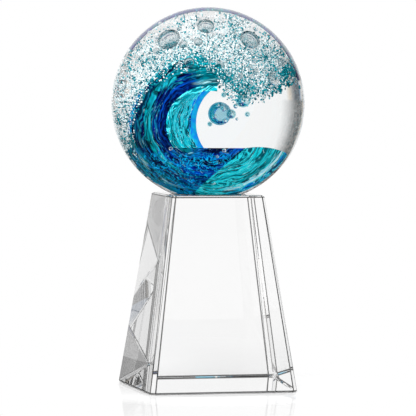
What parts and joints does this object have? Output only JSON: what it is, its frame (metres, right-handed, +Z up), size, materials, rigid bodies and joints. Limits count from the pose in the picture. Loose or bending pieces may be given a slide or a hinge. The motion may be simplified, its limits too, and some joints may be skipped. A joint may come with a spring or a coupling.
{
  "type": "glass wave sculpture",
  "caption": "Clear glass ball holding a curling blue and teal wave with bubbly foam, bonded to a tapered clear crystal plinth with bevelled edges.",
  "frame": {"origin": "middle of the plinth's underside", "axes": "+Z up through the middle of the ball; the plinth's front face looks along -Y; the wave inside the ball faces 14 degrees left of that"},
  "size_m": [0.08, 0.08, 0.1573],
  "materials": {
    "plinth_crystal": "polished",
    "bond": "clear",
    "casing_glass": "fire polished",
    "turquoise_glass": "encased",
    "navy_glass": "encased",
    "cobalt_glass": "encased",
    "teal_glass": "encased",
    "azure_cane": "encased",
    "pale_cane": "encased",
    "cyan_cane": "encased",
    "navy_cane": "encased",
    "trough_glass": "encased",
    "cyan_fleck": "encased",
    "swell_glass": "encased",
    "spray_blue": "encased",
    "spray_teal": "encased",
    "frit_teal": "encased",
    "frit_white": "encased"
  },
  "bodies": {
    "root": {"plinth": "plinth_crystal", "bond_film": "bond", "clear_casing": "casing_glass", "wave_face": "turquoise_glass", "wave_heart": "navy_glass", "wave_back": "cobalt_glass", "crest_lip": "teal_glass", "face_rim": "azure_cane", "crest_thread": "pale_cane", "back_canes": "cyan_cane", "crown_cane": "navy_cane", "trough": "trough_glass", "trough_flecks": "cyan_fleck", "swell": "swell_glass", "spray_ring": "spray_blue", "spray_beads": "spray_teal", "foam_frit_teal": "frit_teal", "foam_frit_white": "frit_white"}
  },
  "joints": []
}
